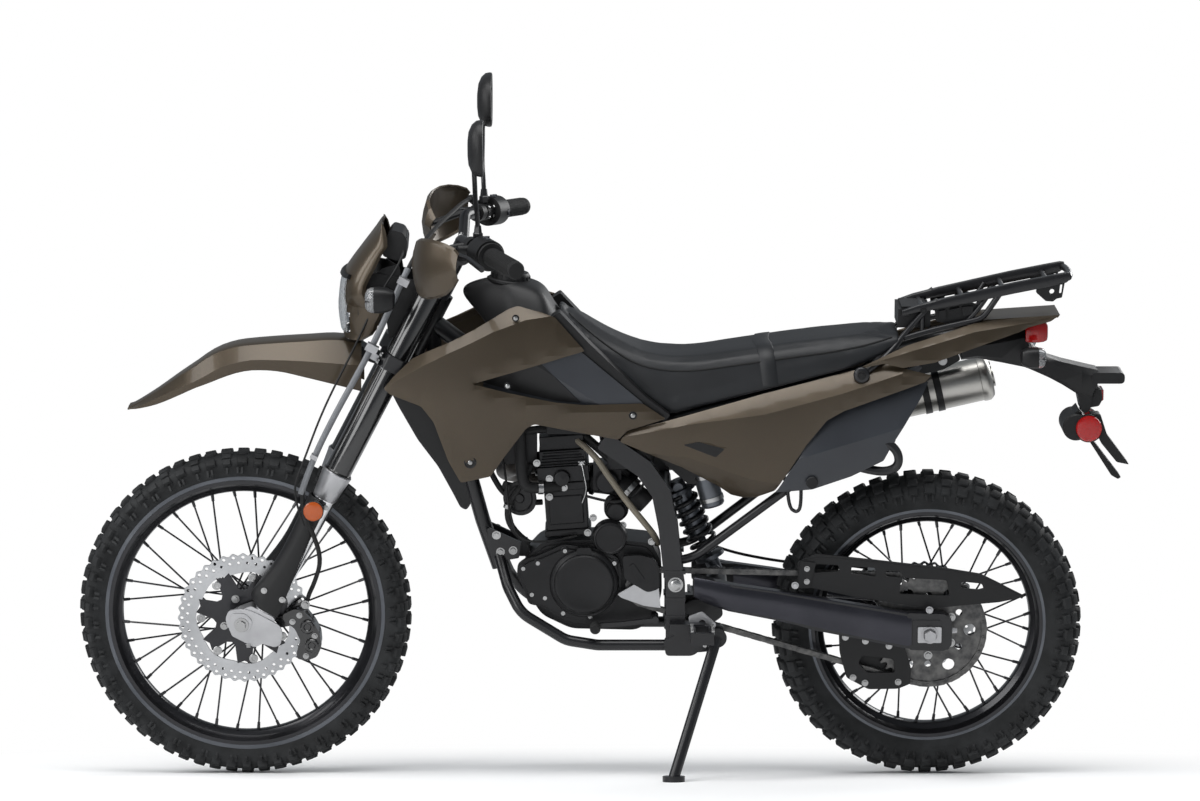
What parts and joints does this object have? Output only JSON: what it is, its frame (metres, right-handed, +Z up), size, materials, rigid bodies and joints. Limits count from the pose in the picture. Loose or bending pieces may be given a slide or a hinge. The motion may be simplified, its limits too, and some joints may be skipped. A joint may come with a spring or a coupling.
{
  "type": "dual sport motorcycle",
  "caption": "Single-cylinder dual sport motorcycle with knobby tyres, wire wheels, chain drive, hand guards and a rear rack, leaning on its side stand.",
  "frame": {"origin": "Middle of the footprint of the whole motorcycle, on the ground.", "axes": "+X points forward along the motorcycle, +Y to its left, +Z up."},
  "size_m": [2.093, 0.8664, 1.4252],
  "materials": {
    "tyre_rubber": "matte",
    "alloy": "satin",
    "steel": "satin",
    "black_alloy": "satin black",
    "fork_tube": "satin black",
    "frame_paint": "satin black",
    "pipe_steel": "satin",
    "shock_metal": "satin",
    "body_paint": "metallic gloss",
    "dark_panel": "fine grain",
    "black_plastic": "fine grain",
    "control_metal": "satin black",
    "cap_metal": "satin black",
    "grip_rubber": "matte",
    "cushion": "soft grain",
    "clear_lens": "clear",
    "signal_lens": "clear",
    "red_lens": "clear red"
  },
  "bodies": {
    "chassis": {"airbox": "black_plastic", "carrier_rack": "frame_paint", "chain_guard": "black_plastic", "chain_guide": "black_plastic", "crankcase": "black_alloy", "cylinder": "black_alloy", "cylinder_head": "black_alloy", "drive_chain": "steel", "engine_covers": "black_alloy", "exhaust_pipe": "pipe_steel", "foot_controls": "frame_paint", "fuel_cap": "cap_metal", "fuel_tank": "black_plastic", "main_frame": "frame_paint", "muffler": "pipe_steel", "rear_axle": "steel", "rear_caliper": "black_alloy", "rear_fender": "black_plastic", "rear_panels": "dark_panel", "rear_shock": "shock_metal", "rear_signals": "signal_lens", "seat": "cushion", "shrouds": "body_paint", "side_covers": "body_paint", "subframe": "frame_paint", "swingarm": "black_alloy", "tail_cowl": "body_paint", "tail_lamp": "red_lens", "tank_side_panels": "dark_panel"},
    "steering": {"front_axle": "steel", "fork_outer_tubes": "fork_tube", "fork_sliders": "alloy", "fork_guards": "black_plastic", "lower_clamp": "black_alloy", "upper_clamp": "black_alloy", "handlebar": "black_alloy", "grips": "grip_rubber", "switch_housings": "black_plastic", "hand_levers": "control_metal", "mirrors": "black_plastic", "hand_guards": "body_paint", "headlamp_cowl": "body_paint", "headlamp_lens": "clear_lens", "lamp_bracket": "frame_paint", "instrument_pod": "black_plastic", "front_signals": "signal_lens", "front_fender": "body_paint", "fender_stay": "dark_panel", "front_caliper": "black_alloy", "brake_hose": "grip_rubber"},
    "front_wheel": {"front_tyre": "tyre_rubber", "front_rim": "black_alloy", "front_hub": "black_alloy", "front_disc": "steel"},
    "rear_wheel": {"rear_tyre": "tyre_rubber", "rear_rim": "black_alloy", "rear_hub": "black_alloy", "rear_sprocket": "steel", "rear_disc": "steel"},
    "side_stand": {"side_stand": "frame_paint"}
  },
  "joints": [
    {"name": "steering", "type": "hinge", "parent": "chassis", "child": "steering", "pos_m": [0.34504, -0.0548, 0.91498], "axis": [-0.4617, 0.1692, 0.8707], "range_deg": [-45, 45]},
    {"name": "front_wheel_spin", "type": "hinge", "parent": "steering", "child": "front_wheel", "pos_m": [0.7135, -0.16878, 0.3286], "axis": [0, 0.9816, -0.1908], "continuous": true},
    {"name": "rear_wheel_spin", "type": "hinge", "parent": "chassis", "child": "rear_wheel", "pos_m": [-0.6515, -0.17298, 0.307], "axis": [0, 0.9816, -0.1908], "continuous": true},
    {"name": "stand_fold", "type": "hinge", "parent": "chassis", "child": "side_stand", "pos_m": [-0.2295, -0.04496, 0.27906], "axis": [-0.1433, 0.9887, -0.044], "range_deg": [0, 122]}
  ]
}
